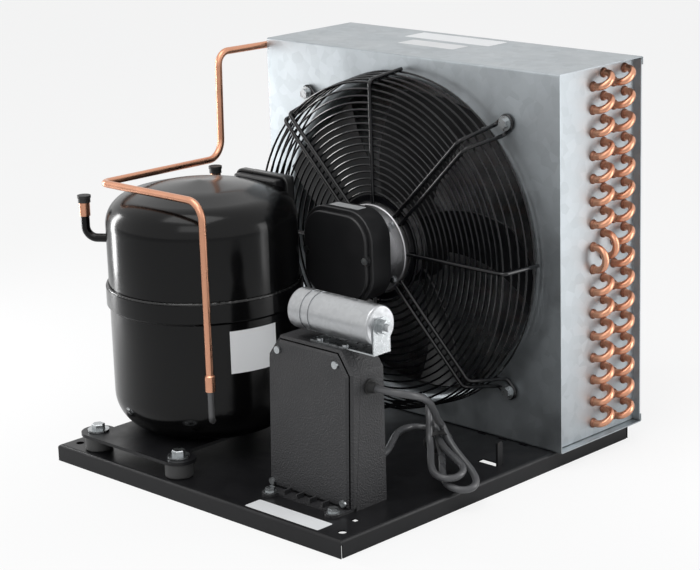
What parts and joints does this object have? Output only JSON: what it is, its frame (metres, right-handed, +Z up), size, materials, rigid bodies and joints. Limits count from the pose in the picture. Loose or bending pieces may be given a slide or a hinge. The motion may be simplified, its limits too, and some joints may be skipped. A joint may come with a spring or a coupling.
{
  "type": "refrigeration condensing unit",
  "caption": "Air-cooled refrigeration condensing unit: sealed compressor, guarded axial fan, copper-tube condenser in a galvanised cowl, electrical box and capacitor on a black tray.",
  "frame": {"origin": "centre of the base tray, in the plane of the lower edge of its flanges", "axes": "+X along the fan side of the condenser, from the compressor to the electrical box; +Y the way the air goes, from the fan into the coil; +Z up"},
  "size_m": [0.4701, 0.472, 0.433],
  "materials": {
    "black_enamel": "semi-gloss enamel",
    "galvanised_sheet": "galvanised, faint spangle",
    "fin_aluminium": "rolled fin stock",
    "copper": "bare copper tube",
    "grey_steel": "copper-plated steel left grey",
    "zinc_steel": "bright zinc plate",
    "cast_aluminium": "machined casting",
    "black_blade": "satin black",
    "black_wire": "gloss powder coat",
    "black_plastic": "fine matt",
    "relay_plastic": "moulded",
    "black_shell": "high gloss enamel",
    "grey_rubber": "matt",
    "black_rubber": "matt",
    "black_strip": "satin",
    "winding_steel": "varnished laminations",
    "works_iron": "machined",
    "box_plastic": "leather-grain moulding",
    "can_aluminium": "drawn can",
    "cord_grey": "satin PVC sheath"
  },
  "bodies": {
    "root": {"base_tray": "black_enamel", "box_foot_screws": "zinc_steel", "bracket_screws": "zinc_steel", "capacitor_bracket": "zinc_steel", "capacitor_can": "can_aluminium", "capacitor_nut": "zinc_steel", "compressor_lower_shell": "black_shell", "compressor_upper_shell": "black_shell", "cord_glands": "black_rubber", "cord_hank": "cord_grey", "cord_lower": "cord_grey", "cord_upper": "cord_grey", "cowl_screws": "zinc_steel", "cylinder_block": "works_iron", "cylinder_head": "works_iron", "discharge_pipe": "copper", "discharge_stub": "grey_steel", "electrical_box_base": "box_plastic", "electrical_box_cover": "box_plastic", "electrical_box_screws": "zinc_steel", "end_sheet_left": "galvanised_sheet", "end_sheet_right": "galvanised_sheet", "fan_cowl": "galvanised_sheet", "fan_guard": "black_wire", "fin_block": "fin_aluminium", "foot_bolts": "zinc_steel", "foot_nuts": "zinc_steel", "foot_plate": "black_enamel", "foot_washers": "zinc_steel", "grommet_sleeves": "zinc_steel", "guard_screws": "zinc_steel", "hairpin_bends": "copper", "hub_screws": "zinc_steel", "liquid_stub": "copper", "motor_box_base": "black_plastic", "motor_box_lid": "black_plastic", "motor_lid_screws": "zinc_steel", "motor_stator": "cast_aluminium", "motor_terminal_block": "relay_plastic", "process_sleeve": "copper", "process_stub": "black_shell", "return_bends": "copper", "rubber_grommets": "grey_rubber", "seam_weld": "black_shell", "start_relay": "relay_plastic", "suction_sleeve": "copper", "suction_stub": "black_shell", "terminal_clip": "black_strip", "terminal_cover": "black_plastic", "terminal_fence": "black_shell", "works_springs": "zinc_steel", "works_stator": "winding_steel"},
    "fan": {"motor_rotor": "cast_aluminium", "fan_blades": "black_blade", "fan_hub": "black_blade"},
    "crank": {"works_rotor": "winding_steel", "crankshaft": "works_iron"},
    "piston": {"piston": "works_iron"},
    "suction_cap": {"suction_cap": "black_rubber"},
    "process_cap": {"process_cap": "black_rubber"}
  },
  "joints": [
    {"name": "fan_spin", "type": "hinge", "parent": "root", "child": "fan", "pos_m": [0.0115, 0.07, 0.226], "axis": [0, 1, 0], "continuous": true},
    {"name": "crank_spin", "type": "hinge", "parent": "root", "child": "crank", "pos_m": [-0.108, -0.1, 0.15], "axis": [0, 0, 1], "continuous": true},
    {"name": "piston_stroke", "type": "slide", "parent": "root", "child": "piston", "axis": [1, 0, 0], "range_m": [-0.008, 0.0075]},
    {"name": "suction_cap_pull", "type": "slide", "parent": "root", "child": "suction_cap", "axis": [0, 0, 1], "range_m": [0, 0.012]},
    {"name": "process_cap_pull", "type": "slide", "parent": "root", "child": "process_cap", "axis": [0, 0, 1], "range_m": [0, 0.012]}
  ]
}
